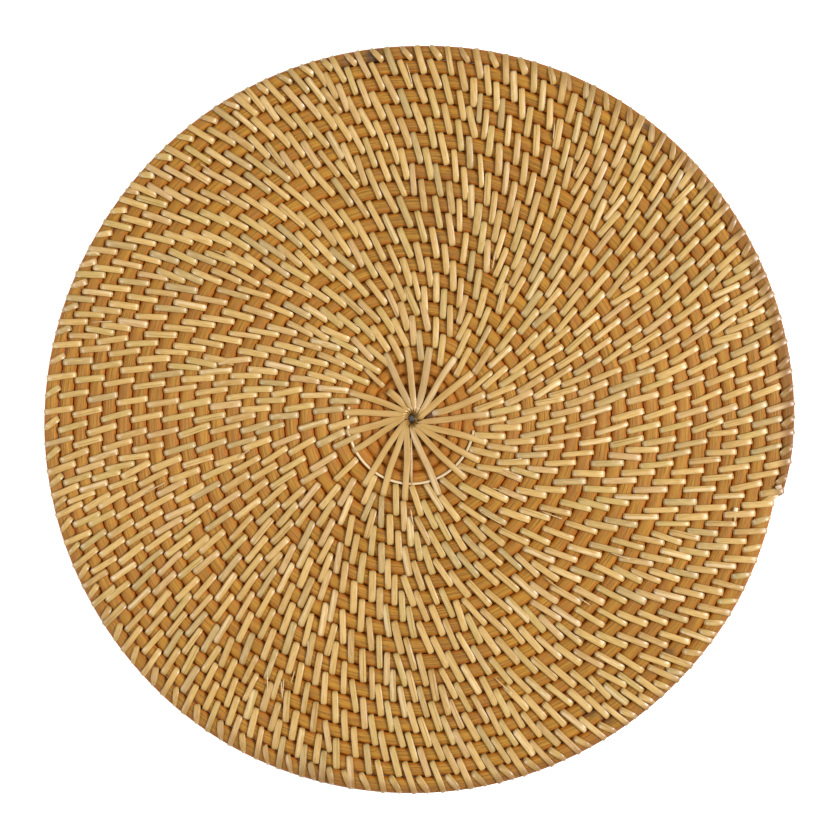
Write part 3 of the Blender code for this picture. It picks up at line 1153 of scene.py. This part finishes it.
class PLACEMAT_OT_strip_ends(bpy.types.Operator):
    """Lays the thin strip in the inner groove, the strips that bind the tip, and a few splinters"""

    bl_idname = "placemat.strip_ends"
    bl_label = "Strip ends"

    def execute(self, context):
        draw = np.random.default_rng(context.scene.placemat_sizes.seed + 2)
        turns = np.linspace(-0.97, -0.47, 60)
        radii = groove_radius(turns) / MM - 0.35 - 2.0 * np.linspace(0.0, 1.0, 60) ** 2
        in_groove = laid_strip(
            "groove_strip", radii, -360 * turns, np.full(60, 2.4), 1.15 * MM, 0.7 * MM, "bright", 0.35
        )
        tip_deg = -360 * TIP_TURN
        over_tip = laid_strip(
            "tip_strip", (166.6, 167.2, 168.6, 171.0, 173.2, 174.4, 174.8),
            tip_deg + np.array([-2.1, -1.9, -1.4, -0.6, 0.1, 0.5, 0.7]),
            (1.2, 2.3, 3.0, 3.1, 2.7, 1.8, 0.4), 2.9 * MM, 0.8 * MM, "gold",
        )
        cut_end = laid_strip(
            "cut_end", (172.6, 173.4, 174.2, 175.0), tip_deg + np.array([1.15, 1.35, 1.5, 1.6]),
            (3.4, 3.75, 3.7, 2.9), 2.0 * MM, 0.8 * MM, "cut",
        )
        tail = laid_strip(
            "tail", (156.6, 157.0, 157.6, 158.2), (-15.6, -16.4, -17.3, -18.1),
            (3.1, 3.25, 3.2, 2.6), 0.9 * MM, 0.6 * MM, "straw",
        )
        tail_end = laid_strip(
            "tail_end", (155.8, 156.4, 157.0, 157.6), (-15.7, -15.7, -15.7, -15.7),
            (3.3, 3.7, 3.7, 3.3), 2.0 * MM, 0.6 * MM, "cut",
        )
        # A thin brown strip beside the -94 degree strip: painted shade along that strip's edge
        painted_shade_strip = laid_strip(
            "painted_shade_strip", (9.0, 14.0, 20.0, 26.0, 31.5), (-92.5, -91.5, -90.5, -90.5, -90.0),
            (2.6, 2.75, 2.75, 2.75, 2.5), 1.1 * MM, 0.6 * MM, "brown",
        )
        splinters = [self.splinter(draw) for _ in range(SPLINTERS)]
        ends = joined("strip_ends", [in_groove, over_tip, cut_end, tail, tail_end, painted_shade_strip, *splinters])
        finished(ends)
        return {"FINISHED"}

    def splinter(self, draw):
        """A thin fibre that has lifted along a strip."""
        turn = draw.uniform(1.0, TIP_TURN - 1)
        radius = float(groove_radius(turn)) / MM
        deg = -360 * turn
        length = draw.uniform(5.0, 11.0)
        out = np.linspace(-0.5, 0.5, 6) * length
        lean = math.tan(math.radians(draw.uniform(8.0, 30.0)))
        degrees = deg + np.degrees(out * lean / radius)
        heights = 3.35 + 0.25 * np.cos(np.linspace(-1.4, 1.4, 6))
        finish = ("pale_gleam", "straw", "pink")[int(draw.integers(3))]
        return laid_strip("splinter", radius + out, degrees, heights, 0.5 * MM, 0.3 * MM, finish)


class PLACEMAT_OT_stage(bpy.types.Operator):
    """Makes the floor, the lights and the camera straight above the mat"""

    bl_idname = "placemat.stage"
    bl_label = "Stage"

    def execute(self, context):
        scene = context.scene
        bm = bmesh.new()
        bmesh.ops.create_grid(bm, x_segments=1, y_segments=1, size=3.0)
        mesh = bpy.data.meshes.new("floor")
        bm.to_mesh(mesh)
        bm.free()
        mesh.materials.append(floor_material())
        floor = linked(bpy.data.objects.new("floor", mesh))
        floor.location.z = CAD_LOW[2] - FLOOR_GAP
        world = bpy.data.worlds.new("studio")
        world.use_nodes = True
        world.node_tree.nodes["Background"].inputs["Color"].default_value = (1.0, 0.99, 0.97, 1.0)
        world.node_tree.nodes["Background"].inputs["Strength"].default_value = 0.5
        scene.world = world
        for name, place, size, power in (
            ("key_light", (2.4, 0.15, 1.8), 1.1, 150.0),
            ("fill_light", (-2.4, -0.5, 1.9), 1.4, 64.0),
        ):
            light = bpy.data.lights.new(name, "AREA")
            light.size = size
            light.energy = power
            lamp = linked(bpy.data.objects.new(name, light))
            lamp.location = place
            lamp.rotation_euler = (-Vector(place)).to_track_quat("-Z", "Y").to_euler()
        data = bpy.data.cameras.new("camera")
        data.lens = 100.0
        data.sensor_width = 36.0
        camera = linked(bpy.data.objects.new("camera", data))
        distance = PHOTO_SIDE * PIXEL / data.sensor_width * data.lens
        camera.location = (0.5 * PIXEL, -0.5 * PIXEL, CAD_HIGH[2] + distance)
        scene.camera = camera
        scene.view_settings.view_transform = "Standard"
        return {"FINISHED"}


class PLACEMAT_PT_panel(bpy.types.Panel):
    """Lists the mat's sizes, colours and pieces"""

    bl_idname = "PLACEMAT_PT_panel"
    bl_label = "Placemat"
    bl_space_type = "VIEW_3D"
    bl_region_type = "UI"
    bl_category = "Placemat"

    def draw(self, context):
        for group in (context.scene.placemat_sizes, context.scene.placemat_colours):
            for name in group.bl_rna.properties.keys():
                if name not in ("rna_type", "name"):
                    self.layout.prop(group, name)
        for operator in OPERATORS:
            self.layout.operator(operator.bl_idname)


OPERATORS = (
    PLACEMAT_OT_cane_coil,
    PLACEMAT_OT_binding_strips,
    PLACEMAT_OT_centre_strips,
    PLACEMAT_OT_strip_ends,
    PLACEMAT_OT_stage,
)
CLASSES = (MatSizes, MatColours, *OPERATORS, PLACEMAT_PT_panel)


def register():
    for cls in CLASSES:
        bpy.utils.register_class(cls)
    bpy.types.Scene.placemat_sizes = PointerProperty(type=MatSizes)
    bpy.types.Scene.placemat_colours = PointerProperty(type=MatColours)


def unregister():
    del bpy.types.Scene.placemat_colours
    del bpy.types.Scene.placemat_sizes
    for cls in reversed(CLASSES):
        bpy.utils.unregister_class(cls)


def main():
    register()
    bpy.ops.placemat.cane_coil()
    bpy.ops.placemat.binding_strips()
    bpy.ops.placemat.centre_strips()
    bpy.ops.placemat.strip_ends()
    bpy.ops.placemat.stage()


if __name__ == "__main__":
    main()
